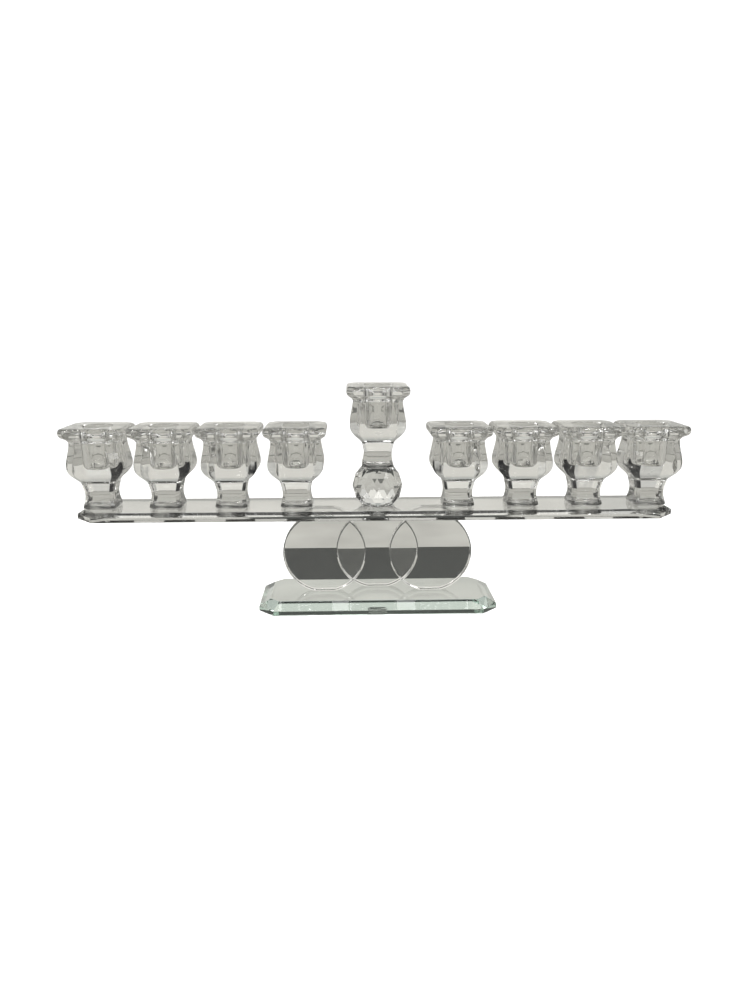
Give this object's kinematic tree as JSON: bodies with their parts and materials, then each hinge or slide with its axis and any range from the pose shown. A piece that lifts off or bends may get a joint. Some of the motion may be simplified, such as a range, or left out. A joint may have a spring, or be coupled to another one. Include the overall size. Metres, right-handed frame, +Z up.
{
  "type": "menorah",
  "caption": "Clear glass menorah: a bevelled bar of square candle cups with a raised centre cup on a faceted ball, carried by upright discs on a bevelled base plate.",
  "frame": {"origin": "on the table, under the middle of the base plate", "axes": "+Z up, +X along the bar to the right as seen from the front, -Y towards the front"},
  "size_m": [0.4346, 0.065, 0.1582],
  "materials": {
    "plate_glass": "clear plate glass with a faint green edge colour, polished faces and bevels",
    "crystal": "water-clear cut crystal, polished",
    "pressed_glass": "clear pressed glass, fire-polished soft edges",
    "adhesive": "clear cured adhesive film"
  },
  "bodies": {
    "root": {"base_plate": "plate_glass", "bar": "crystal", "disc_left": "crystal", "disc_middle": "crystal", "disc_right": "crystal", "shamash_ball": "crystal", "candle_cup_1": "pressed_glass", "candle_cup_2": "pressed_glass", "candle_cup_3": "pressed_glass", "candle_cup_4": "pressed_glass", "candle_cup_5": "pressed_glass", "candle_cup_6": "pressed_glass", "candle_cup_7": "pressed_glass", "candle_cup_8": "pressed_glass", "shamash_cup": "pressed_glass", "bond_disc_left_base": "adhesive", "bond_disc_left_bar": "adhesive", "bond_disc_middle_base": "adhesive", "bond_disc_middle_bar": "adhesive", "bond_disc_right_base": "adhesive", "bond_disc_right_bar": "adhesive", "bond_cup_1": "adhesive", "bond_cup_2": "adhesive", "bond_cup_3": "adhesive", "bond_cup_4": "adhesive", "bond_cup_5": "adhesive", "bond_cup_6": "adhesive", "bond_cup_7": "adhesive", "bond_cup_8": "adhesive", "bond_ball_bar": "adhesive", "bond_shamash_cup": "adhesive"}
  },
  "joints": []
}
